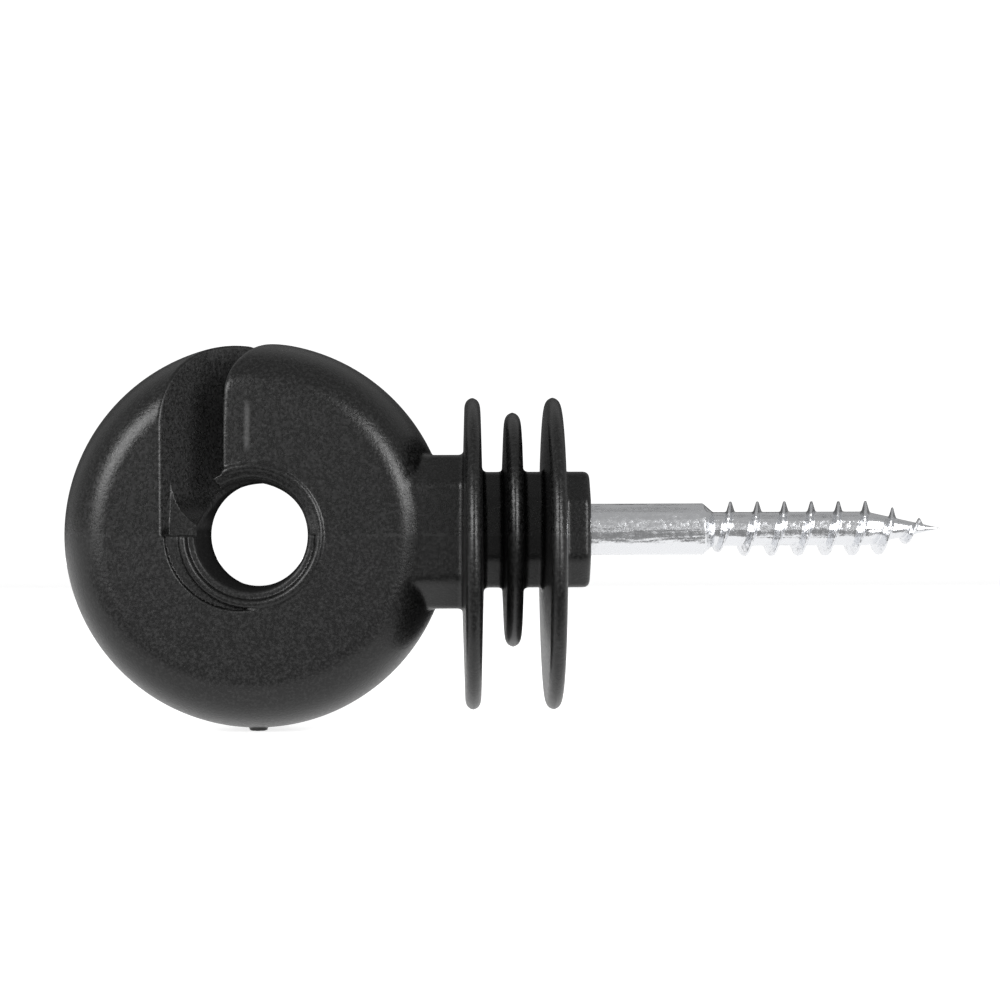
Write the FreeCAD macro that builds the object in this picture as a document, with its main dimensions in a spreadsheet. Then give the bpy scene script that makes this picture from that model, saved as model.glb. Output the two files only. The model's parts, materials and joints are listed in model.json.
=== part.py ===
import FreeCAD, Part
import math
import os
import Sketcher

# A screw-in ring insulator for an electric fence: one black moulding cast round one wood screw.
# +X runs along the screw to its tip, the wire hole runs along Y and the slot opens upwards, along +Z.
# The origin is the middle of the core's end face, where the insulator meets the post.

DIMENSIONS = {
    # ring
    "ring_offset": 36.0,  # wire hole's axis to the post seat
    "ring_drop": 0.5,  # wire hole's axis below the screw's axis
    "ring_radius": 20.95,
    "ring_width": 17.0,
    "face_radius": 15.3,  # where the flat face turns into the elliptical shoulder
    "throat_radius": 5.55,
    "throat_length": 2.4,
    "flare_radius": 5.9,  # where the slow flare ends and the rounded mouth starts
    "flare_length": 14.8,
    "mouth_radius": 6.85,
    "mouth_round": 1.15,
    "bead_width": 0.8,
    "bead_height": 0.25,
    # slot, open from the moulding's parting plane upwards, the same when turned half round
    "slot_outer": 9.5,  # walls at the ring's face, from the wire hole's axis
    "slot_inner": 3.1,
    "far_knee": 5.6,  # the two bends of each wall
    "near_knee": 0.5,
    "knee_depth": 2.0,
    "knee_radius": 5.0,
    "slot_overrun": 3.0,
    "rim_round": 0.3,
    # beak at the slot's foot that keeps the wire in, front and back
    "beak_radius": 7.25,
    "beak_reach": 4.1,
    "beak_depth": 2.5,
    # shallow recess that leads from the slot's floor into the wire hole
    "lead_radius": 7.9,
    "lead_shift": 1.2,
    "lead_depth": 0.45,
    # neck and core are bars with wide bevels
    "neck_start": 12.0,  # inside the ring, from the wire hole's axis
    "neck_depth": 15.9,
    "neck_height": 16.5,
    "neck_drop": 0.2,
    "core_size": 12.5,
    "bevel": 3.1,
    "seat_edge": 0.6,
    # sheds
    "shed_first": 12.6,  # middle of the first shed to the post seat
    "shed_pitch": 4.36,
    "shed_radius": 17.0,
    "shed_drop": 2.6,  # the large sheds hang this far below the screw's axis
    "small_shed_radius": 12.8,
    "shed_rim": 1.65,
    "shed_root": 2.3,
    "shed_root_radius": 5.5,
    "rim_arc": 0.92,
    # injection point under the ring
    "gate_radius": 1.0,
    "gate_height": 0.35,
    # screw
    "buried_radius": 2.6,
    "buried_taper": 0.5,  # length over which the shank thins inside the moulding
    "shank_radius": 2.8,
    "shank_length": 12.5,  # outside the moulding
    "shoulder_length": 1.1,
    "screw_root": 1.85,
    "screw_length": 38.5,  # post seat to tip
    "point_length": 8.2,
    # forged flat at the screw's inner end
    "anchor_start": 9.0,
    "anchor_end": 16.5,
    "anchor_width": 7.6,
    "anchor_thickness": 3.6,
    "anchor_bevel": 1.0,
    # thread
    "thread_radius": 3.0,
    "thread_pitch": 2.945,
    "thread_start": 12.6,
    "thread_end": 37.3,
    "crest_start": 2.15,  # the crest rises from this radius over the first turn
    "crest_taper_start": 31.4,
    "crest_taper": 0.39,  # radius lost for each millimetre of length
    "fin_root": 1.1,
    "fin_crest": 0.22,
    "fin_foot": 0.8,  # the fin's foot, as a share of the core's radius
    "left_handed": 1,
}

HALF_TURN = 180
POINTS_PER_TURN = 24  # along each corner curve of the thread
TOUCH = 0.001  # two lengths this close are the same, in millimetres


def make_sheet(doc):
    sheet = doc.addObject("Spreadsheet::Sheet", "Sizes")
    for row, (alias, size) in enumerate(DIMENSIONS.items(), start=1):
        sheet.set(f"A{row}", alias)
        sheet.set(f"B{row}", str(size))
        sheet.setAlias(f"B{row}", alias)
    doc.recompute()
    return sheet


os.makedirs("parts", exist_ok=True)
doc = FreeCAD.newDocument("fence_insulator")
sheet = make_sheet(doc)


def number(formula):
    """What a formula over the sheet's cells comes to."""
    return float(sheet.evalExpression(formula))


def new_body(label):
    body = doc.addObject("PartDesign::Body", label)
    body.Label = label
    return body


def origin_item(body, role):
    return next(item for item in body.Origin.OriginFeatures if item.Role == role)


def new_sketch(body, name, plane, offsets):
    """A sketch on one of the body's origin planes, moved by formulas along its own axes."""
    sketch = body.newObject("Sketcher::SketchObject", name)
    sketch.AttachmentSupport = (origin_item(body, plane), [""])
    sketch.MapMode = "FlatFace"
    for axis, formula in offsets.items():
        sketch.setExpression(f"AttachmentOffset.Base.{axis}", formula)
    return sketch


def bind(sketch, constraint, formula):
    """Add a constraint and drive it from the sheet."""
    index = sketch.addConstraint(constraint)
    sketch.setExpression(f"Constraints[{index}]", formula)


def fix_point(sketch, geometry, end, corner):
    """Hold one end of a sketch line or arc at a pair of formulas."""
    for kind, other_axis, formula in (("DistanceX", -2, corner[0]), ("DistanceY", -1, corner[1])):
        if formula == "0":
            sketch.addConstraint(Sketcher.Constraint("PointOnObject", geometry, end, other_axis))
        else:
            size = number(formula)
            bind(sketch, Sketcher.Constraint(kind, -1, 1, geometry, end, size), formula)


def arc_between(start, end, radius, turn):
    """The shorter arc from start to end; turn is 1 counter-clockwise and -1 clockwise."""
    chord = end - start
    rise = math.sqrt(max(radius**2 - (chord.Length / 2) ** 2, 0.0))
    side = FreeCAD.Vector(-chord.y, chord.x, 0).normalize()
    centre = (start + end) / 2 + side * rise * turn
    first, last = (start, end) if turn > 0 else (end, start)
    angles = [math.atan2(point.y - centre.y, point.x - centre.x) for point in (first, last)]
    circle = Part.Circle(centre, FreeCAD.Vector(0, 0, 1), radius)
    return Part.ArcOfCircle(circle, angles[0], angles[1])


def outline(sketch, corners, arcs=None, gap=None):
    """Join the corners, given as pairs of formulas, into a loop of lines and arcs.

    arcs maps the number of a side to (radius formula, turn). gap is the number of a side that
    is left open. Returns the loose ends beside the gap as (geometry, end) pairs.
    """
    arcs = arcs or {}
    points = [FreeCAD.Vector(number(x), number(y), 0) for x, y in corners]
    ends = {}
    for side, start in enumerate(points):
        if side == gap:
            continue
        end = points[(side + 1) % len(points)]
        if side in arcs:
            radius, turn = arcs[side]
            geometry = sketch.addGeometry(arc_between(start, end, number(radius), turn), False)
            bind(sketch, Sketcher.Constraint("Radius", geometry, number(radius)), radius)
            ends[side] = (geometry, 1, 2) if turn > 0 else (geometry, 2, 1)
        else:
            geometry = sketch.addGeometry(Part.LineSegment(start, end), False)
            ends[side] = (geometry, 1, 2)
    for side, corner in enumerate(corners):
        before = (side - 1) % len(corners)
        if side in ends and before in ends:
            first, second = ends[before], ends[side]
            sketch.addConstraint(Sketcher.Constraint("Coincident", first[0], first[2], second[0], second[1]))
        holder = ends[side][:2] if side in ends else (ends[before][0], ends[before][2])
        fix_point(sketch, holder[0], holder[1], corner)
    if gap is None:
        return None
    before, after = ends[(gap - 1) % len(corners)], ends[(gap + 1) % len(corners)]
    return (before[0], before[2]), (after[0], after[1])


def circle(sketch, radius):
    disc = Part.Circle(FreeCAD.Vector(), FreeCAD.Vector(0, 0, 1), number(radius))
    geometry = sketch.addGeometry(disc, False)
    sketch.addConstraint(Sketcher.Constraint("Coincident", geometry, 3, -1, 1))
    bind(sketch, Sketcher.Constraint("Radius", geometry, number(radius)), radius)


def bevelled_bar(sketch, width, height, bevel):
    """A rectangle about the sketch's origin with its four corners cut off."""
    across, up = f"({width}) / 2", f"({height}) / 2"
    inner_across, inner_up = f"{across} - ({bevel})", f"{up} - ({bevel})"
    outline(sketch, [
        (inner_across, f"-({up})"), (across, f"-({inner_up})"), (across, inner_up), (inner_across, up),
        (f"-({inner_across})", up), (f"-({across})", inner_up),
        (f"-({across})", f"-({inner_up})"), (f"-({inner_across})", f"-({up})"),
    ])


def pad(body, name, sketch, length):
    feature = body.newObject("PartDesign::Pad", name)
    feature.Profile = sketch
    feature.setExpression("Length", length)
    return feature


def check_cut(feature, volume_before):
    """A cut that points away from the solid takes nothing off and shows no error."""
    doc.recompute()
    if feature.Shape.Volume >= volume_before:
        raise RuntimeError(f"{feature.Name} cuts nothing")


def pocket(body, name, sketch, depth):
    doc.recompute()
    volume_before = body.Shape.Volume
    feature = body.newObject("PartDesign::Pocket", name)
    feature.Profile = sketch
    feature.setExpression("Length", depth)
    check_cut(feature, volume_before)
    return feature


def revolve(body, name, sketch, axis, kind="Revolution"):
    """Turn a section right round: a Revolution adds it, a Groove cuts it away."""
    feature = body.newObject(f"PartDesign::{kind}", name)
    feature.Profile = sketch
    feature.ReferenceAxis = (sketch, [axis])
    feature.Angle = 2 * HALF_TURN
    return feature


def edges_where(shape, wanted):
    return [f"Edge{index}" for index, edge in enumerate(shape.Edges, start=1) if wanted(edge)]


def fillet(body, name, base, edge_names, radius):
    feature = body.newObject("PartDesign::Fillet", name)
    feature.Base = (base, edge_names)
    feature.setExpression("Radius", radius)
    return feature


# ---- the moulding ----


def add_ring(body):
    """A wide ring about the wire hole: waisted throat, beaded mouths, flat faces, elliptical shoulder."""
    sketch = new_sketch(body, "ring_section", "XY_Plane",
                        {"x": "-Sizes.ring_offset", "z": "-Sizes.ring_drop"})
    throat, flare, mouth = "Sizes.throat_radius", "Sizes.flare_radius", "Sizes.mouth_radius"
    half_throat, half_flare = "Sizes.throat_length / 2", "Sizes.flare_length / 2"
    face, bead = "Sizes.ring_width / 2", "Sizes.mouth_radius + Sizes.bead_width"
    rounded = ("Sizes.mouth_round", -1)
    lip = ("((Sizes.bead_width / 2)^2 + Sizes.bead_height^2) / (2 * Sizes.bead_height)", -1)
    corners = [
        (throat, f"-({half_throat})"), (throat, half_throat), (flare, half_flare), (mouth, face),
        (bead, face), ("Sizes.face_radius", face), ("Sizes.face_radius", f"-({face})"),
        (bead, f"-({face})"), (mouth, f"-({face})"), (flare, f"-({half_flare})"),
    ]
    top_end, bottom_end = outline(sketch, corners, {2: rounded, 3: lip, 7: lip, 8: rounded}, gap=5)
    centre = FreeCAD.Vector(number("Sizes.face_radius"), 0, 0)
    half_width, bulge = number(face), number("Sizes.ring_radius - Sizes.face_radius")
    shoulder = Part.Ellipse(centre + FreeCAD.Vector(0, half_width), centre - FreeCAD.Vector(bulge, 0), centre)
    curve = sketch.addGeometry(Part.ArcOfEllipse(shoulder, math.pi, 2 * math.pi), False)
    sketch.exposeInternalGeometry(curve)
    long_axis, short_axis = curve + 1, curve + 2
    sketch.addConstraint(Sketcher.Constraint("Coincident", curve, 1, *bottom_end))
    sketch.addConstraint(Sketcher.Constraint("Coincident", curve, 2, *top_end))
    sketch.addConstraint(Sketcher.Constraint("Vertical", long_axis))
    bind(sketch, Sketcher.Constraint("DistanceX", -1, 1, curve, 3, centre.x), "Sizes.face_radius")
    bind(sketch, Sketcher.Constraint("Distance", short_axis, 2 * bulge),
         "2 * (Sizes.ring_radius - Sizes.face_radius)")
    revolve(body, "ring", sketch, "V_Axis")
    return sketch


def add_bars(body):
    """Neck from the ring to the first shed, and the core through the sheds to the post."""
    neck = new_sketch(body, "neck_section", "YZ_Plane",
                      {"y": "-Sizes.neck_drop", "z": "Sizes.neck_start - Sizes.ring_offset"})
    bevelled_bar(neck, "Sizes.neck_depth", "Sizes.neck_height", "Sizes.bevel")
    pad(body, "neck", neck, "Sizes.ring_offset - Sizes.neck_start - Sizes.shed_first")
    section = new_sketch(body, "core_section", "YZ_Plane", {"z": "-Sizes.shed_first"})
    bevelled_bar(section, "Sizes.core_size", "Sizes.core_size", "Sizes.bevel")
    core = pad(body, "core", section, "Sizes.shed_first")
    doc.recompute()
    seat_edges = edges_where(core.Shape, lambda edge: abs(edge.BoundBox.XMax) < TOUCH
                             and edge.BoundBox.XLength < TOUCH)
    fillet(body, "seat_round", core, seat_edges, "Sizes.seat_edge")


def shed_section(body, name, place, drop, radius):
    """Half of a thin disc that tapers to a rounded rim, drawn above the axis it is turned about."""
    sketch = new_sketch(body, name, "XZ_Plane", {"x": f"-({place})", "y": f"-({drop})"})
    root, rim = "Sizes.shed_root / 2", "Sizes.shed_rim / 2"
    edge = f"{radius} - Sizes.rim_arc + sqrt(Sizes.rim_arc^2 - ({rim})^2)"
    outline(sketch, [
        (root, "0"), (root, "Sizes.shed_root_radius"), (rim, edge),
        (f"-({rim})", edge), (f"-({root})", "Sizes.shed_root_radius"), (f"-({root})", "0"),
    ], {2: ("Sizes.rim_arc", 1)})
    return sketch


def add_sheds(body):
    """Two large sheds hung low about one small one."""
    small = shed_section(body, "small_shed_section", "Sizes.shed_first - Sizes.shed_pitch", "0",
                         "Sizes.small_shed_radius")
    revolve(body, "small_shed", small, "H_Axis")
    large = shed_section(body, "large_shed_section", "Sizes.shed_first", "Sizes.shed_drop",
                         "Sizes.shed_radius")
    shed = revolve(body, "large_shed", large, "H_Axis")
    doc.recompute()
    row = body.newObject("PartDesign::LinearPattern", "large_sheds")
    row.Originals = [shed]
    row.Direction = (origin_item(body, "X_Axis"), [""])
    row.Occurrences = 2
    row.setExpression("Length", "2 * Sizes.shed_pitch")
    body.Tip = row


def is_upright(edge):
    return edge.BoundBox.XLength < TOUCH and edge.BoundBox.YLength < TOUCH


def repeat_turned(body, name, feature, plan):
    """Repeat a cut half a turn round the upright axis through the middle of a plan sketch."""
    doc.recompute()
    volume_before = body.Shape.Volume
    both = body.newObject("PartDesign::PolarPattern", name)
    both.Originals = [feature]
    both.Axis = (plan, ["N_Axis"])
    both.Occurrences = 2
    body.Tip = both
    check_cut(both, volume_before)


def make_slot_blade():
    """The mould's blade for the slot: a bent wall that slants from front to back, notched for the beaks."""
    body = new_body("slot_blade")
    sketch = new_sketch(body, "slot_plan", "XY_Plane",
                        {"x": "-Sizes.ring_offset", "z": "-Sizes.ring_drop"})
    leg = "(Sizes.ring_width / 2 - Sizes.knee_depth)"
    past = "Sizes.ring_width / 2 + Sizes.slot_overrun"
    outer = f"Sizes.slot_outer + Sizes.slot_overrun * (Sizes.slot_outer - Sizes.far_knee) / {leg}"
    inner = f"Sizes.slot_inner + Sizes.slot_overrun * (Sizes.slot_inner + Sizes.near_knee) / {leg}"
    wall = [
        (f"-({outer})", f"-({past})"), ("-Sizes.far_knee", "-Sizes.knee_depth"),
        ("-Sizes.near_knee", "Sizes.knee_depth"), (inner, past),
    ]
    turned = [(f"-({x})", f"-({y})") for x, y in wall]
    outline(sketch, wall + turned)
    blade = pad(body, "straight_blade", sketch, "Sizes.ring_radius + Sizes.slot_overrun")
    doc.recompute()
    face = number("Sizes.ring_width / 2")
    bends = edges_where(blade.Shape, lambda edge: is_upright(edge) and abs(edge.BoundBox.Center.y) < face)
    fillet(body, "bent_blade", blade, bends, "Sizes.knee_radius")
    profile = new_sketch(body, "beak_plan", "XZ_Plane", {
        "x": "-Sizes.ring_offset", "y": "-Sizes.ring_drop",
        "z": "Sizes.ring_width / 2 + 2 * Sizes.slot_overrun"})
    rise = "sqrt(Sizes.beak_radius^2 - Sizes.beak_reach^2)"
    outline(profile, [("0", "0"), ("Sizes.beak_reach", rise), ("-Sizes.beak_reach", rise)],
            {1: ("Sizes.beak_radius", 1)})
    notch = pocket(body, "beak_notch", profile, "2 * Sizes.slot_overrun + Sizes.beak_depth")
    repeat_turned(body, "beak_notches", notch, sketch)
    return body


def add_slot(body):
    """The wire's way in, open from the parting plane upwards, with its rims just rounded."""
    doc.recompute()
    volume_before = body.Shape.Volume
    slot = body.newObject("PartDesign::Boolean", "slot")
    slot.setObjects([make_slot_blade()])
    slot.Type = "Cut"
    check_cut(slot, volume_before)
    face = number("Sizes.ring_width / 2")
    foot = number("Sizes.beak_radius")
    rims = edges_where(slot.Shape, lambda edge: is_upright(edge) and edge.BoundBox.Center.z > foot
                       and abs(abs(edge.BoundBox.Center.y) - face) < TOUCH)
    fillet(body, "slot_rims", slot, rims, "Sizes.rim_round")


def add_leads(body, plan):
    """A shallow crescent round the bead of each mouth, below the slot's floor, front and back."""
    sketch = new_sketch(body, "lead_plan", "XZ_Plane", {
        "x": "-Sizes.ring_offset", "y": "-Sizes.ring_drop", "z": "Sizes.ring_width / 2"})
    inner_formula = "Sizes.mouth_radius + Sizes.bead_width"
    outer, inner, shift = number("Sizes.lead_radius"), number(inner_formula), number("Sizes.lead_shift")
    centre = FreeCAD.Vector(-shift, 0)
    tip_x = (outer**2 - inner**2 - shift**2) / (2 * shift)
    tip = FreeCAD.Vector(tip_x, -math.sqrt(inner**2 - tip_x**2))
    start, end = FreeCAD.Vector(-shift - outer, 0), FreeCAD.Vector(-inner, 0)
    line = sketch.addGeometry(Part.LineSegment(start, end), False)
    arcs = []
    for middle, radius, formula in ((centre, outer, "Sizes.lead_radius"),
                                    (FreeCAD.Vector(), inner, inner_formula)):
        disc = Part.Circle(middle, FreeCAD.Vector(0, 0, 1), radius)
        last = 2 * math.pi + math.atan2(tip.y - middle.y, tip.x - middle.x)
        arc = sketch.addGeometry(Part.ArcOfCircle(disc, math.pi, last), False)
        sketch.addConstraint(Sketcher.Constraint("Coincident", arc, 1, line, 1 + len(arcs)))
        sketch.addConstraint(Sketcher.Constraint("PointOnObject", arc, 1, -1))
        bind(sketch, Sketcher.Constraint("Radius", arc, radius), formula)
        arcs.append(arc)
    sketch.addConstraint(Sketcher.Constraint("Coincident", arcs[0], 2, arcs[1], 2))
    sketch.addConstraint(Sketcher.Constraint("Coincident", arcs[1], 3, -1, 1))
    sketch.addConstraint(Sketcher.Constraint("PointOnObject", arcs[0], 3, -1))
    bind(sketch, Sketcher.Constraint("DistanceX", -1, 1, arcs[0], 3, -shift), "-Sizes.lead_shift")
    lead = pocket(body, "lead", sketch, "Sizes.lead_depth")
    repeat_turned(body, "leads", lead, plan)


def add_gate(body):
    """The stub left where the plastic was injected, under the ring."""
    sketch = new_sketch(body, "gate_section", "XY_Plane", {
        "x": "-Sizes.ring_offset", "z": "-Sizes.ring_drop - Sizes.ring_radius - Sizes.gate_height"})
    circle(sketch, "Sizes.gate_radius")
    pad(body, "gate", sketch, "Sizes.gate_height + Sizes.gate_radius")


def add_screw_seat(body):
    """The space that the screw's buried neck and flattened end fill inside the moulding."""
    doc.recompute()
    volume_before = body.Shape.Volume
    neck = new_sketch(body, "neck_seat_section", "XZ_Plane", {})
    outline(neck, [
        ("0", "0"), ("0", "Sizes.shank_radius"), ("-Sizes.buried_taper", "Sizes.buried_radius"),
        ("-Sizes.anchor_start", "Sizes.buried_radius"), ("-Sizes.anchor_start", "0"),
    ])
    check_cut(revolve(body, "neck_seat", neck, "H_Axis", kind="Groove"), volume_before)
    anchor = new_sketch(body, "anchor_seat_section", "YZ_Plane", {"z": "-Sizes.anchor_start"})
    bevelled_bar(anchor, "Sizes.anchor_thickness", "Sizes.anchor_width", "Sizes.anchor_bevel")
    pocket(body, "anchor_seat", anchor, "Sizes.anchor_end - Sizes.anchor_start")


def make_insulator_body():
    body = new_body("insulator_body")
    ring_plan = add_ring(body)
    add_bars(body)
    add_sheds(body)
    add_slot(body)
    add_leads(body, ring_plan)
    add_gate(body)
    add_screw_seat(body)
    return body


# ---- the screw ----


def make_screw_core():
    """Plain shank, shoulder, thread's core and point; the thinner neck and flat anchor are buried."""
    body = new_body("screw_core")
    sketch = new_sketch(body, "screw_section", "XZ_Plane", {})
    outline(sketch, [
        ("-Sizes.anchor_start", "0"), ("Sizes.screw_length", "0"),
        ("Sizes.screw_length - Sizes.point_length", "Sizes.screw_root"),
        ("Sizes.shank_length + Sizes.shoulder_length", "Sizes.screw_root"),
        ("Sizes.shank_length", "Sizes.shank_radius"), ("0", "Sizes.shank_radius"),
        ("-Sizes.buried_taper", "Sizes.buried_radius"), ("-Sizes.anchor_start", "Sizes.buried_radius"),
    ])
    revolve(body, "shank", sketch, "H_Axis")
    anchor = new_sketch(body, "anchor_section", "YZ_Plane", {"z": "-Sizes.anchor_end"})
    bevelled_bar(anchor, "Sizes.anchor_thickness", "Sizes.anchor_width", "Sizes.anchor_bevel")
    pad(body, "anchor", anchor, "Sizes.anchor_end - Sizes.anchor_start")
    doc.recompute()
    return body


def core_radius(x):
    """Radius of the screw's core under the thread."""
    to_tip = number("Sizes.screw_length") - x
    return number("Sizes.screw_root") * min(1.0, to_tip / number("Sizes.point_length"))


def crest_radius(x):
    """Radius of the thread's crest: rising over the first turn, level, then falling towards the tip."""
    full, first = number("Sizes.thread_radius"), number("Sizes.crest_start")
    turns = (x - number("Sizes.thread_start")) / number("Sizes.thread_pitch")
    past = max(0.0, x - number("Sizes.crest_taper_start"))
    return min(full, first + (full - first) * turns) - number("Sizes.crest_taper") * past


def foot_radius(x):
    """Radius of the fin's foot, inside the core."""
    return number("Sizes.fin_foot") * core_radius(x)


def fin_curve(start, end, radius_at, shift):
    """A curve wound round the screw's axis from start to end, along one corner of the fin."""
    first, pitch = number("Sizes.thread_start"), number("Sizes.thread_pitch")
    hand = 1 if number("Sizes.left_handed") else -1
    steps = math.ceil((end - start) / pitch * POINTS_PER_TURN)
    points = []
    for step in range(steps + 1):
        x = start + (end - start) * step / steps
        angle, radius = 2 * math.pi * (x - first) / pitch, radius_at(x)
        shrink = crest_radius(x) / number("Sizes.thread_radius")
        points.append(FreeCAD.Vector(x + shift * shrink, hand * radius * math.sin(angle),
                                     radius * math.cos(angle)))
    spline = Part.BSplineCurve()
    spline.interpolate(points)
    return spline.toShape()


def fin_solid(start, end):
    """A stretch of the fin: ruled faces between its four corner curves, and a flat face at each end."""
    half_root, half_crest = number("Sizes.fin_root / 2"), number("Sizes.fin_crest / 2")
    corners = [(foot_radius, -half_root), (crest_radius, -half_crest),
               (crest_radius, half_crest), (foot_radius, half_root)]
    curves = [fin_curve(start, end, radius_at, shift) for radius_at, shift in corners]
    faces = [Part.makeRuledSurface(curve, curves[(side + 1) % 4]) for side, curve in enumerate(curves)]
    for place in (0, 1):
        tips = [curve.valueAt(curve.ParameterRange[place]) for curve in curves]
        faces.append(Part.Face(Part.makePolygon(tips + tips[:1])))
    shell = Part.Shell(faces)
    shell.sewShape()
    solid = Part.Solid(Part.Shell(shell.Faces))
    if solid.Volume < 0:
        solid.reverse()
    return solid


def make_thread():
    """One thin fin wound round the core, a turn at a time; it grows at the shank and fades at the tip."""
    start, end, pitch = (number(f"Sizes.thread_{name}") for name in ("start", "end", "pitch"))
    turns = []
    for index in range(math.ceil((end - start) / pitch)):
        turn = doc.addObject("Part::Feature", f"thread_turn_{index + 1}")
        turn.Shape = fin_solid(start + index * pitch, min(end, start + (index + 1) * pitch))
        turns.append(turn)
    return turns


def make_wood_screw():
    screw = doc.addObject("Part::MultiFuse", "wood_screw")
    screw.Shapes = [make_screw_core()] + make_thread()
    screw.Label = "wood_screw"
    return screw


pieces = [make_insulator_body(), make_wood_screw()]
doc.recompute()

failed = [item.Name for item in doc.Objects if "Invalid" in item.State or "Error" in item.State]
if failed:
    raise RuntimeError(f"features failed: {failed}")
for piece in pieces:
    if piece.Shape.isNull() or not piece.Shape.isValid() or len(piece.Shape.Solids) != 1:
        raise RuntimeError(f"{piece.Label} is not one valid solid")
    print(piece.Label, round(piece.Shape.Volume, 1), "cubic millimetres")
for piece in pieces:
    piece.Shape.exportStep(f"parts/{piece.Label}.step")
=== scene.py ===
import json
import math

import bpy
import numpy as np
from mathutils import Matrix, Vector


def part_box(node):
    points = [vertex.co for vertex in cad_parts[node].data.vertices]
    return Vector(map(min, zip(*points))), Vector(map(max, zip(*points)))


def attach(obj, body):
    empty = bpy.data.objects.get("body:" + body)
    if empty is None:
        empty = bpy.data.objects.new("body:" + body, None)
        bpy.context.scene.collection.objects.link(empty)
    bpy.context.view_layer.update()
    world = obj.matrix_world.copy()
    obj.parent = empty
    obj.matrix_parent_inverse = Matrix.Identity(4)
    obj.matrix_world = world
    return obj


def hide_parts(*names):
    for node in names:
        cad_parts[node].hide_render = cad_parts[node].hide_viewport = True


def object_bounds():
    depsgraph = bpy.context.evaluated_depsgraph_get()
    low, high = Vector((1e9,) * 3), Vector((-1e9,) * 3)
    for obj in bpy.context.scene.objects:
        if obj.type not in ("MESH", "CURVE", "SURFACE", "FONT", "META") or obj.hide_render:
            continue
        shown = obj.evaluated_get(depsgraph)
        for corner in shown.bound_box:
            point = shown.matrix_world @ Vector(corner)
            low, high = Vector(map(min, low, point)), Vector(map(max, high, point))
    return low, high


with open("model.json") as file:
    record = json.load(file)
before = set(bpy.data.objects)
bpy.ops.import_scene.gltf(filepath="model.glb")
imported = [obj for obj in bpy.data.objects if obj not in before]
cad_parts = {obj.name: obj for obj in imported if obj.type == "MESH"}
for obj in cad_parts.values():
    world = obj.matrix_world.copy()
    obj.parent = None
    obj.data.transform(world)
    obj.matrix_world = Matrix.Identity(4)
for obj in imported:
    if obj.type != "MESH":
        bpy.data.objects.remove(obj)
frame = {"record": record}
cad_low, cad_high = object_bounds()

import openvdb
from mathutils import Vector

# Each visible piece is a surface of distance zero: its form is written below as a distance in
# millimetres, with every edge rounded as a mould leaves it, and then meshed.
MM = 0.001
MOUNTS = {mount["name"]: mount for mount in frame["record"]["mounts"]}
BODY_LOW, BODY_HIGH = (np.array(corner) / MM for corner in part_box("insulator_body"))
SCREW_LOW, SCREW_HIGH = (np.array(corner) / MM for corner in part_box("wood_screw"))

# ---- sizes of the moulding, in millimetres ----
HOLE_X, HOLE_Z = (MOUNTS["wire_hole"]["pos_m"][axis] / MM for axis in (0, 2))
THROAT_RADIUS = MOUNTS["wire_hole"]["dims"]["r_mm"]
THROAT_HALF = MOUNTS["wire_hole"]["dims"]["length_mm"] / 2
RING_RADIUS = HOLE_X - BODY_LOW[0]
RING_HALF = 8.5
FACE_RADIUS = 15.3
SHOULDER = RING_RADIUS - FACE_RADIUS
MOUTH_RADIUS, MOUTH_ROUND = 6.85, 1.1
FLARE_RADIUS, FLARE_HALF = 5.9, 7.4
FLARE_SLOPE = (FLARE_RADIUS - THROAT_RADIUS) / (FLARE_HALF - THROAT_HALF)
BEAD_HALF, BEAD_HEIGHT = 0.4, 0.25
BEAD_ARC = (BEAD_HALF**2 + BEAD_HEIGHT**2) / (2 * BEAD_HEIGHT)
LEAD_RADIUS, LEAD_SHIFT, LEAD_DEPTH = 7.9, 1.2, 0.45

SLOT_OUTER, SLOT_INNER = 9.5, 3.1
FAR_KNEE, NEAR_KNEE, KNEE_DEPTH, KNEE_SOFTNESS = 5.6, 0.5, 2.0, 0.65
FLOOR_ROUND, FLOOR_LAND = 6.5, 1.2
BEAK_RADIUS, BEAK_REACH, BEAK_DEPTH = 7.25, 4.1, 2.5
LEFT_LIP, RIGHT_LIP, RIGHT_LIP_TOP = 0.35, 0.5, 1.2
LIP_FROM, LIP_TO, LIP_BLEND = 9.0, 19.0, 0.5

NECK_DEPTH, NECK_HEIGHT, NECK_DROP, CORE_SIZE, BEVEL = 15.9, 16.5, 0.2, 12.5, 3.1
NECK_START, SHED_FIRST, SHED_PITCH = -24.0, -12.6, 4.36
SHED_RADIUS, SMALL_SHED_RADIUS, SHED_DROP = 17.0, 12.8, 2.6
SHED_ROOT_HALF, SHED_RIM_HALF, SHED_ROOT_RADIUS, SHED_RIM_ROUND = 1.15, 0.825, 5.5, 1.2
GATE_RADIUS, GATE_DEPTH = 1.0, 2.0
BAR_EDGE, SEAT_EDGE, ROOT_FILLET, NECK_FILLET, SHARP = 0.5, 0.8, 0.6, 0.35, 0.2

# ---- painted highlights, painted light and shade, and a duller lower half on the moulding, in millimetres: each fades out between its two limits ----
# A pale streak painted on the front face beside the slot: a painted highlight.
HIGHLIGHT_STREAK_X, HIGHLIGHT_STREAK_Z = -36.4, 11.0
HIGHLIGHT_STREAK_WIDTH, HIGHLIGHT_STREAK_LENGTH, HIGHLIGHT_STREAK_FACE = (0.1, 0.4), (1.8, 2.9), (-8.0, -7.5)
# How wide the pale line painted along the parting plane is: a painted highlight.
PARTING_HIGHLIGHT_WIDTH = (0.1, 0.22)
# Where the painted shade in the bore and the painted light on the slot walls fade out.
BORE_EDGE = (6.0, 6.3)
SLOT_EDGE, SLOT_FOOT = (9.3, 9.5), (0.0, 0.5)
DULL_FROM, DULL_TO = HOLE_Z - 0.2, HOLE_Z + 0.2

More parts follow.
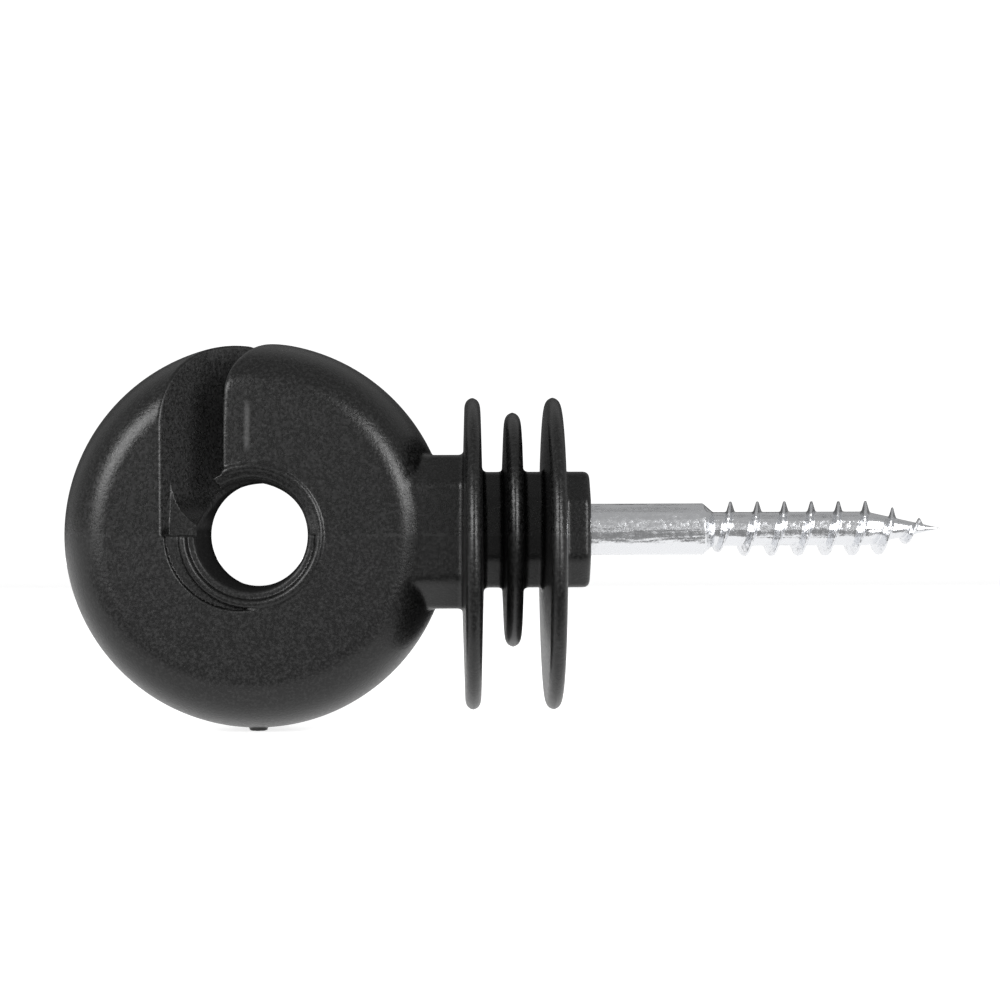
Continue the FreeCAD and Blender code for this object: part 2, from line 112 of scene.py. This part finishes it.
# ---- sizes of the screw, in millimetres ----
SHANK_RADIUS = MOUNTS["screw_shank"]["dims"]["r_mm"]
SHANK_LENGTH = MOUNTS["screw_shank"]["dims"]["length_mm"]
BURIED_RADIUS, BURIED_OVERLAP, ANCHOR_FROM, ANCHOR_BEVEL = 2.6, 1.0, -9.0, 1.0
ANCHOR_HALF_Y, ANCHOR_HALF_Z = 1.8, 3.8
SHOULDER_END, SCREW_ROOT, POINT_LENGTH = SHANK_LENGTH + 1.1, 1.85, 8.2
THREAD_RADIUS, THREAD_PITCH, THREAD_START, THREAD_END = 3.0, 2.945, 12.6, 37.0
CREST_START, TAPER_START, TAPER, FADE = 2.15, 31.4, 0.39, 1.6
FIN_ROOT_HALF, FIN_CREST_HALF, FIN_FOOT, FIN_LEAST = 0.55, 0.12, 0.8, 0.2

# ---- how finely each piece is meshed: the cell in millimetres and the share of faces kept ----
COARSE = 1.0
BODY_CELL, BODY_KEPT = 0.22 * COARSE, 0.4
SCREW_CELL, SCREW_KEPT = 0.1 * COARSE, 0.5
MARGIN_CELLS = 3
SETTLING_STEPS = 3
SLOPE_STEP, NORMAL_STEP, FARTHEST_MOVE = 0.1, 0.2, 0.5  # in cells
LEAST_SQUARE, LEAST_SLOPE = 0.1, 1e-4


def rounded_max(a, b, rounding):
    """The larger of two distances, with the edge where they are equal rounded off."""
    overlap = np.maximum(rounding - np.abs(a - b), 0.0)
    return np.maximum(a, b) + overlap * overlap / (4 * rounding)


def rounded_min(a, b, rounding):
    """The smaller of two distances, with the corner where they are equal filled."""
    return -rounded_max(-a, -b, rounding)


def ring(x, y, z):
    """Ring about the wire hole: elliptical shoulder, flat faces, waisted throat, beaded mouths."""
    radius, depth = np.hypot(x, z), np.abs(y)
    out = np.maximum(radius - FACE_RADIUS, 0.0) / SHOULDER
    across = depth / RING_HALF
    size = np.hypot(out, across)
    slope = np.hypot(out / SHOULDER, across / RING_HALF)
    shoulder = size * (size - 1) / np.maximum(slope, LEAST_SLOPE)
    wall = THROAT_RADIUS + FLARE_SLOPE * np.maximum(depth - THROAT_HALF, 0.0)
    solid = rounded_max(shoulder, wall - radius, MOUTH_ROUND)
    lead = np.maximum(np.hypot(x - LEAD_SHIFT * np.sign(y), z) - LEAD_RADIUS, z)
    lead = np.maximum(lead, RING_HALF - LEAD_DEPTH - depth)
    solid = rounded_max(solid, -lead, SHARP)
    bead_radius = MOUTH_RADIUS + BEAD_HALF
    bead_depth = RING_HALF + BEAD_HEIGHT - BEAD_ARC
    bead = np.hypot(radius - bead_radius, np.maximum(depth - bead_depth, 0.0)) - BEAD_ARC
    bead = np.maximum(bead, RING_HALF / 2 - depth)
    return rounded_min(solid, bead, SHARP)


def slot_wall(y):
    """Where the slot's outer wall stands at each depth, and how steeply it slants there."""
    front = (SLOT_OUTER - FAR_KNEE) / (RING_HALF - KNEE_DEPTH)
    middle = (FAR_KNEE - NEAR_KNEE) / (2 * KNEE_DEPTH)
    back = (SLOT_INNER + NEAR_KNEE) / (RING_HALF - KNEE_DEPTH)
    turn_front, turn_back = (middle - front) / 2, (back - middle) / 2
    slant = front + turn_front + turn_back
    start = -FAR_KNEE + KNEE_DEPTH * slant - 2 * KNEE_DEPTH * turn_back
    to_front = np.hypot(y + KNEE_DEPTH, KNEE_SOFTNESS)
    to_back = np.hypot(y - KNEE_DEPTH, KNEE_SOFTNESS)
    place = start + slant * y + turn_front * to_front + turn_back * to_back
    lean = slant + turn_front * (y + KNEE_DEPTH) / to_front + turn_back * (y - KNEE_DEPTH) / to_back
    return place, np.hypot(1.0, lean)


def slotted(solid, x, y, z):
    """Cut the S-shaped way in for the wire, open from z = 0 upwards, with a beak at each foot."""
    outer, outer_lean = slot_wall(y)
    inner, inner_lean = slot_wall(-y)
    left, right = (outer - x) / outer_lean, (x + inner) / inner_lean
    depth = np.abs(y)
    behind_land = np.clip((RING_HALF - FLOOR_LAND - depth) / SHARP, 0.0, 1.0) * FLOOR_ROUND
    left_foot = rounded_max(left, -z, SHARP + behind_land * np.clip(-y / KNEE_DEPTH, 0.0, 1.0))
    right_foot = rounded_max(right, -z, SHARP + behind_land * np.clip(y / KNEE_DEPTH, 0.0, 1.0))
    slot = np.maximum(left_foot, right_foot)
    rise = math.sqrt(BEAK_RADIUS**2 - BEAK_REACH**2)
    side = (x * np.sign(y) * rise - z * BEAK_REACH) / BEAK_RADIUS
    beak = np.maximum(np.hypot(x, z) - BEAK_RADIUS, RING_HALF - BEAK_DEPTH - depth)
    slot = rounded_max(slot, -np.maximum(beak, side), SHARP)
    near_top = np.clip((z - LIP_FROM) / (LIP_TO - LIP_FROM), 0.0, 1.0)
    right_lip = RIGHT_LIP + (RIGHT_LIP_TOP - RIGHT_LIP) * near_top * near_top
    near_right = np.clip(right - left + LIP_BLEND, 0.0, 1.0)
    lip = LEFT_LIP + (right_lip - LEFT_LIP) * near_right
    return rounded_max(solid, -slot, lip)


def bar(x, y, z, start, end, width, height, end_edge):
    """A bar along the screw's axis with wide bevels."""
    across, up = np.abs(y) - width / 2, np.abs(z) - height / 2
    flats = np.maximum(across, up)
    bevels = (across + up + BEVEL) / math.sqrt(2)
    section = rounded_max(flats, bevels, BAR_EDGE)
    return rounded_max(section, np.maximum(start - x, x - end), end_edge)


def shed(x, y, z, place, drop, radius):
    """A thin disc that tapers to a rounded rim."""
    reach = np.hypot(y, z + drop)
    taper = (SHED_ROOT_HALF - SHED_RIM_HALF) / (radius - SHED_ROOT_RADIUS)
    half = SHED_ROOT_HALF - taper * np.maximum(reach - SHED_ROOT_RADIUS, 0.0)
    return rounded_max(np.abs(x - place) - half, reach - radius, SHED_RIM_ROUND)


def buried(x, y, z):
    """The screw's thin neck and flat anchor inside the moulding."""
    across, up = np.abs(y), np.abs(z)
    neck = np.maximum(np.hypot(y, z) - BURIED_RADIUS, ANCHOR_FROM - x)
    flats = np.maximum(across - ANCHOR_HALF_Y, up - ANCHOR_HALF_Z)
    bevels = (across + up - ANCHOR_HALF_Y - ANCHOR_HALF_Z + ANCHOR_BEVEL) / math.sqrt(2)
    anchor = np.maximum(np.maximum(flats, bevels), np.maximum(SCREW_LOW[0] - x, x - ANCHOR_FROM))
    return np.minimum(neck, anchor)


def moulding(x, y, z):
    """The whole black moulding."""
    from_hole, above_hole = x - HOLE_X, z - HOLE_Z
    solid = slotted(ring(from_hole, y, above_hole), from_hole, y, above_hole)
    gate = np.hypot(from_hole, y) - GATE_RADIUS
    gate = rounded_max(gate, np.maximum(BODY_LOW[2] - z, z - BODY_LOW[2] - GATE_DEPTH), SHARP)
    solid = rounded_min(solid, gate, SHARP)
    neck = bar(x, y, z + NECK_DROP, NECK_START, SHED_FIRST, NECK_DEPTH, NECK_HEIGHT, BAR_EDGE)
    solid = rounded_min(solid, neck, NECK_FILLET)
    solid = np.minimum(solid, bar(x, y, z, SHED_FIRST, 0.0, CORE_SIZE, CORE_SIZE, SEAT_EDGE))
    discs = shed(x, y, z, SHED_FIRST + SHED_PITCH, 0.0, SMALL_SHED_RADIUS)
    for place in (SHED_FIRST, SHED_FIRST + 2 * SHED_PITCH):
        discs = np.minimum(discs, shed(x, y, z, place, SHED_DROP, SHED_RADIUS))
    solid = rounded_min(solid, discs, ROOT_FILLET)
    return np.maximum(solid, -buried(x, y, z))


def crest_radius(x):
    """Radius of the thread's crest: it rises over the first turn, is level, then falls to the tip."""
    rise = CREST_START + (THREAD_RADIUS - CREST_START) * (x - THREAD_START) / THREAD_PITCH
    fall = TAPER * np.maximum(x - TAPER_START, 0.0) + FADE * np.maximum(x - THREAD_END, 0.0)
    return np.minimum(rise, THREAD_RADIUS) - fall


def core_radius(x):
    """Radius of the screw under its thread."""
    down_shoulder = (x - SHANK_LENGTH) / (SHOULDER_END - SHANK_LENGTH)
    shoulder = SHANK_RADIUS + (SCREW_ROOT - SHANK_RADIUS) * down_shoulder
    point = SCREW_ROOT * (SCREW_HIGH[0] - x) / POINT_LENGTH
    return np.minimum(np.minimum(SHANK_RADIUS, np.maximum(shoulder, SCREW_ROOT)), point)


def wood_screw(x, y, z):
    """The whole screw; its thread winds to the left."""
    radius = np.hypot(y, z)
    core = rounded_max(radius - core_radius(x), -x, SHARP)
    core = np.minimum(core, np.maximum(buried(x, y, z), x - BURIED_OVERLAP))
    turn = np.arctan2(y, z) / (2 * math.pi)
    offset = x - THREAD_START - THREAD_PITCH * turn
    offset = offset - THREAD_PITCH * np.round(offset / THREAD_PITCH)
    crest = crest_radius(x - offset)
    foot = FIN_FOOT * core_radius(x - offset)
    share = (radius - foot) / np.maximum(crest - foot, FIN_LEAST)
    half = (FIN_ROOT_HALF + (FIN_CREST_HALF - FIN_ROOT_HALF) * share) * crest / THREAD_RADIUS
    fin = rounded_max(np.abs(offset) - half, radius - crest, FIN_CREST_HALF)
    fin = np.maximum(fin, THREAD_START - x)
    return rounded_min(core, fin, SHARP)


def gradient(form, points, step):
    """Which way the distance grows fastest at each point."""
    columns = []
    for axis in np.eye(3) * step:
        ahead, behind = (points + axis).T, (points - axis).T
        columns.append((form(*ahead) - form(*behind)) / (2 * step))
    return np.stack(columns, axis=1)


def thin_out(piece, kept):
    """Leave only a share of the faces, fewest where the surface is flat."""
    thin = piece.modifiers.new("thin", "DECIMATE")
    thin.ratio = kept
    bpy.context.view_layer.update()
    evaluated = piece.evaluated_get(bpy.context.evaluated_depsgraph_get())
    piece.data = bpy.data.meshes.new_from_object(evaluated)
    piece.modifiers.clear()
    piece.data.name = piece.name


def settle(mesh, form, cell):
    """Move a mesh's points, which are in millimetres, on to the form and shade it by the form's slope."""
    points = np.empty(len(mesh.vertices) * 3, np.float32)
    mesh.vertices.foreach_get("co", points)
    points = points.reshape(-1, 3).astype(float)
    for _ in range(SETTLING_STEPS):
        slope = gradient(form, points, cell * SLOPE_STEP)
        squared = np.maximum((slope**2).sum(axis=1), LEAST_SQUARE)
        move = form(*points.T)[:, None] * slope / squared[:, None]
        points -= np.clip(move, -cell * FARTHEST_MOVE, cell * FARTHEST_MOVE)
    normals = gradient(form, points, cell * NORMAL_STEP)
    normals /= np.linalg.norm(normals, axis=1)[:, None]
    mesh.vertices.foreach_set("co", (points * MM).astype(np.float32).ravel())
    mesh.polygons.foreach_set("use_smooth", [True] * len(mesh.polygons))
    mesh.normals_split_custom_set_from_vertices(normals.tolist())
    mesh.update()


def mesh_form(name, form, low, high, cell, kept):
    """Mesh the surface where a form is zero, thin the mesh out and set it true again."""
    margin = MARGIN_CELLS * cell
    axes = [np.arange(a - margin, b + margin, cell) for a, b in zip(low, high)]
    slices = [form(x, axes[1][:, None], axes[2][None, :]) for x in axes[0]]
    grid = openvdb.FloatGrid(1.0)
    grid.copyFromArray(np.stack(slices).astype(np.float32))
    points, quads = grid.convertToQuads(isovalue=0.0)
    points = points * cell + np.array([axis[0] for axis in axes])
    mesh = bpy.data.meshes.new(name)
    mesh.from_pydata(points.tolist(), [], quads.tolist())
    piece = bpy.data.objects.new(name, mesh)
    bpy.context.scene.collection.objects.link(piece)
    thin_out(piece, kept)
    settle(piece.data, form, cell)
    return piece


# ---- materials ----


class Surface:
    """A principled material with a few helpers to drive it."""

    def __init__(self, name, **values):
        self.material = bpy.data.materials.new(name)
        self.material.use_nodes = True
        self.tree = self.material.node_tree
        self.shader = self.tree.nodes["Principled BSDF"]
        for socket, value in values.items():
            self.shader.inputs[socket.replace("_", " ")].default_value = value
        place = self.tree.nodes.new("ShaderNodeTexCoord")
        self.place = place.outputs["Object"]

    def part(self, vector, axis):
        """One of a vector's three parts."""
        node = self.tree.nodes.new("ShaderNodeSeparateXYZ")
        self.link(vector, node.inputs["Vector"])
        return node.outputs[axis]

    def normal(self):
        """Which way the surface faces."""
        return self.tree.nodes.new("ShaderNodeNewGeometry").outputs["Normal"]

    def link(self, source, target):
        """Feed one socket from another."""
        self.tree.links.new(source, target)

    def noise(self, size_mm, detail=2.0, roughness=0.5, drawn_out=1.0):
        """Blotches of about the given size, drawn out along the part if asked."""
        squash = self.tree.nodes.new("ShaderNodeMapping")
        squash.inputs["Scale"].default_value = (1 / drawn_out, 1.0, 1.0)
        self.link(self.place, squash.inputs["Vector"])
        node = self.tree.nodes.new("ShaderNodeTexNoise")
        node.inputs["Scale"].default_value = 1 / (size_mm * MM)
        node.inputs["Detail"].default_value = detail
        node.inputs["Roughness"].default_value = roughness
        self.link(squash.outputs["Vector"], node.inputs["Vector"])
        return node.outputs["Fac"]

    def combine(self, operation, first, second):
        """Work out a sum or product; either side may be a plain number."""
        node = self.tree.nodes.new("ShaderNodeMath")
        node.operation = operation
        for socket, value in zip(node.inputs, (first, second)):
            if isinstance(value, float):
                socket.default_value = value
            else:
                self.link(value, socket)
        return node.outputs["Value"]

    def spread(self, value, low, high, from_low=0.3, from_high=0.7):
        """Stretch a value between two limits."""
        node = self.tree.nodes.new("ShaderNodeMapRange")
        node.inputs["From Min"].default_value = from_low
        node.inputs["From Max"].default_value = from_high
        node.inputs["To Min"].default_value = low
        node.inputs["To Max"].default_value = high
        self.link(value, node.inputs["Value"])
        return node.outputs["Result"]

    def product(self, first, *others):
        """Multiply any number of values together."""
        for other in others:
            first = self.combine("MULTIPLY", first, other)
        return first

    def unsigned(self, value):
        """A value without its sign."""
        return self.combine("ABSOLUTE", value, 0.0)

    def distance(self, value, middle_mm):
        """How far a place is from a plane, on either side of it."""
        return self.unsigned(self.combine("SUBTRACT", value, middle_mm * MM))

    def within(self, value, edge_mm):
        """One up to the first limit, falling to nothing at the second."""
        return self.spread(value, 1.0, 0.0, edge_mm[0] * MM, edge_mm[1] * MM)

    def bump(self, value, height_mm, below=None):
        """Raise and lower the surface's shading by a value."""
        node = self.tree.nodes.new("ShaderNodeBump")
        node.inputs["Distance"].default_value = height_mm * MM
        self.link(value, node.inputs["Height"])
        if below is not None:
            self.link(below, node.inputs["Normal"])
        return node.outputs["Normal"]


def black_plastic():
    """Orange-peel grain, glossier above the parting plane, with painted highlights, painted light and
    painted shade.

    There is a broken pale line painted along the parting line as its highlight, a painted highlight
    streak on the front face, painted light on the slot walls and painted shade in the bore, where the
    reflection is switched off.
    """
    surface = Surface("black_plastic", Base_Color=(0.012, 0.012, 0.013, 1.0), Roughness=0.33, IOR=1.45)
    grain = surface.noise(0.3, detail=3.0, roughness=0.6)
    along, depth, height = (surface.part(surface.place, axis) for axis in "XYZ")
    lean_y, lean_z = (surface.part(surface.normal(), axis) for axis in "YZ")
    from_hole, above_hole = surface.distance(along, HOLE_X), surface.distance(height, HOLE_Z)

    # A broken pale line along the parting plane, painted into the colour as its highlight.
    broken = surface.spread(surface.noise(1.2), 0.0, 0.3, 0.5, 0.6)
    line = surface.product(surface.within(above_hole, PARTING_HIGHLIGHT_WIDTH), broken)
    shade = surface.combine("ADD", grain, line)

    # The slot walls are painted paler: painted light inside the slot.
    above_foot = surface.spread(height, 0.0, 1.0, *(edge * MM for edge in SLOT_FOOT))
    not_face = surface.spread(surface.unsigned(lean_y), 1.0, 0.0, 0.8, 0.95)
    not_top = surface.spread(surface.unsigned(lean_z), 1.0, 0.0, 0.2, 0.4)
    painted_slot_light = surface.product(surface.within(from_hole, SLOT_EDGE), above_foot, not_face, not_top)

    # The bore loses its reflection and gets a faint even tone: painted shade in the hole.
    squares = [surface.product(side, side) for side in (from_hole, above_hole)]
    painted_bore_shade = surface.spread(surface.combine("ADD", *squares), 1.0, 0.0,
                             *((edge * MM) ** 2 for edge in BORE_EDGE))

    # A pale streak on the front face beside the slot: a painted highlight.
    painted_highlight_streak = surface.product(surface.within(surface.distance(along, HIGHLIGHT_STREAK_X), HIGHLIGHT_STREAK_WIDTH),
                            surface.within(surface.distance(height, HIGHLIGHT_STREAK_Z), HIGHLIGHT_STREAK_LENGTH),
                            surface.within(depth, HIGHLIGHT_STREAK_FACE))

    specks = surface.spread(shade, 0.003, 0.014, 0.45, 0.7)
    painted_slot_light_specks = surface.spread(shade, 0.006, 0.026)
    # The painted highlights, painted light and painted shade are added to the speckled colour here.
    for where, how_pale in ((painted_slot_light, painted_slot_light_specks), (painted_bore_shade, 0.012), (painted_highlight_streak, 0.035)):
        specks = surface.combine("ADD", specks, surface.product(where, how_pale))
    surface.link(specks, surface.shader.inputs["Base Color"])
    # The reflection is switched off in the bore, part of its painted shade.
    surface.link(surface.spread(painted_bore_shade, 0.5, 0.0, 0.0, 1.0), surface.shader.inputs["Specular IOR Level"])

    dull = surface.spread(height, 0.05, 0.0, DULL_FROM * MM, DULL_TO * MM)
    rough = surface.combine("ADD", surface.spread(grain, 0.22, 0.38), dull)
    surface.link(rough, surface.shader.inputs["Roughness"])
    waves = surface.bump(surface.noise(2.5), 0.03)
    surface.link(surface.bump(grain, 0.035, below=waves), surface.shader.inputs["Normal"])
    return surface.material


def bright_zinc():
    """Bright plating over a drawn and rolled wire."""
    surface = Surface("bright_zinc", Base_Color=(0.83, 0.84, 0.86, 1.0), Metallic=1.0, Roughness=0.2)
    grain = surface.noise(0.5, detail=3.0)
    drawn = surface.bump(surface.noise(1.1, detail=2.0, drawn_out=7.0), 0.22)
    surface.link(surface.spread(grain, 0.16, 0.32), surface.shader.inputs["Roughness"])
    surface.link(surface.bump(grain, 0.06, below=drawn), surface.shader.inputs["Normal"])
    return surface.material


# ---- the object ----

insulator = mesh_form("ring_insulator", moulding, BODY_LOW, BODY_HIGH, BODY_CELL, BODY_KEPT)
screw = mesh_form("threaded_screw", wood_screw, SCREW_LOW, SCREW_HIGH, SCREW_CELL, SCREW_KEPT)
for piece, node, slot_name, material in (
    (insulator, "insulator_body", "black_plastic", black_plastic()),
    (screw, "wood_screw", "bright_zinc", bright_zinc()),
):
    piece.data.materials.append(material)
    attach(piece, "root")
    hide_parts(node)

# ---- floor, light and camera ----

PALE, DARK = (0.85, 0.85, 0.85, 1.0), (0.01, 0.01, 0.01, 1.0)
FLOOR_SIZE, FLOOR_GLOW = 3.0, 0.75
DOME_RADIUS, DOME_GLOW = 1.2, 0.38
WORLD_STRENGTH = 1.1
ON_FLOOR = cad_low.z + MM
FLAT, UPRIGHT = (0, 0, 0), (math.pi / 2, 0, 0)
STRIP_SHARE = 0.07  # how wide the strip card is for its length
AIM = (-0.03, 0.0, 0.0)


def glowing(name, colour, glow):
    """A dull material that gives off a little light of its own."""
    surface = Surface(name, Base_Color=colour, Roughness=0.9, Emission_Color=(1, 1, 1, 1))
    surface.shader.inputs["Emission Strength"].default_value = glow
    return surface.material


def sheet(name, size, place, turn, colour, glow):
    """A flat square of plain colour."""
    bpy.ops.mesh.primitive_plane_add(size=size, location=place, rotation=turn)
    panel = bpy.context.object
    panel.name = name
    panel.data.materials.append(glowing(name, colour, glow))
    return panel


def lamp(name, place, size, power):
    """A soft lamp that faces the middle of the part."""
    light = bpy.data.lights.new(name, "AREA")
    light.shape = "RECTANGLE"
    light.size, light.size_y = size
    light.energy = power
    holder = bpy.data.objects.new(name, light)
    holder.location = place
    holder.rotation_euler = (Vector(AIM) - Vector(place)).to_track_quat("-Z", "Y").to_euler()
    bpy.context.scene.collection.objects.link(holder)


sheet("floor", FLOOR_SIZE, (0, 0, cad_low.z), FLAT, PALE, FLOOR_GLOW)
# What the glossy part mirrors: a grey dome, two cards on the floor, one behind it and a strip above.
low_card = sheet("low_card", 0.3, (0.0, -0.17, ON_FLOOR), FLAT, DARK, 0.18)
far_card = sheet("far_card", 0.5, (0.0, 0.23, ON_FLOOR), FLAT, DARK, 1.0)
back_card = sheet("back_card", 1.0, (0.0, 0.6, -0.15), UPRIGHT, DARK, 0.08)
strip_card = sheet("strip_card", 0.6, (0.0, 0.09, 0.5), FLAT, DARK, 0.05)
strip_card.scale.y = STRIP_SHARE
for card in (low_card, far_card):
    card.visible_diffuse = False
    card.visible_shadow = False
bpy.ops.mesh.primitive_uv_sphere_add(radius=DOME_RADIUS, location=(0, 0, 0))
dome = bpy.context.object
dome.name = "grey_dome"
dome.data.materials.append(glowing("grey_dome", DARK, DOME_GLOW))
for shade in (low_card, far_card, back_card, strip_card, dome):
    shade.visible_camera = False

world = bpy.data.worlds.new("white_tent")
world.use_nodes = True
world.node_tree.nodes["Background"].inputs["Color"].default_value = (1, 1, 1, 1)
world.node_tree.nodes["Background"].inputs["Strength"].default_value = WORLD_STRENGTH
bpy.context.scene.world = world
bpy.context.scene.view_settings.view_transform = "Standard"

lamp("left_lamp", (-0.36, -0.4, 0.22), (0.3, 0.3), 2.2)
lamp("right_lamp", (0.3, -0.4, 0.14), (0.15, 0.32), 1.6)

# The camera looks along the wire hole, and its lens is shifted to frame the part.
CAMERA_PLACE = (-15.0, -237.0, 0.0)
CAMERA_ROLL = 0.2
LENS_MM, SENSOR_MM = 78.19, 36.0
LENS_SHIFT = (0.0495, 0.0299)
NEAREST = 10.0

camera_data = bpy.data.cameras.new("camera")
camera_data.sensor_width = SENSOR_MM
camera_data.lens = LENS_MM
camera_data.clip_start = NEAREST * MM
camera_data.shift_x, camera_data.shift_y = LENS_SHIFT
camera = bpy.data.objects.new("camera", camera_data)
camera.location = [place * MM for place in CAMERA_PLACE]
camera.rotation_euler = (math.pi / 2, math.radians(CAMERA_ROLL), 0)
bpy.context.scene.collection.objects.link(camera)
bpy.context.scene.camera = camera
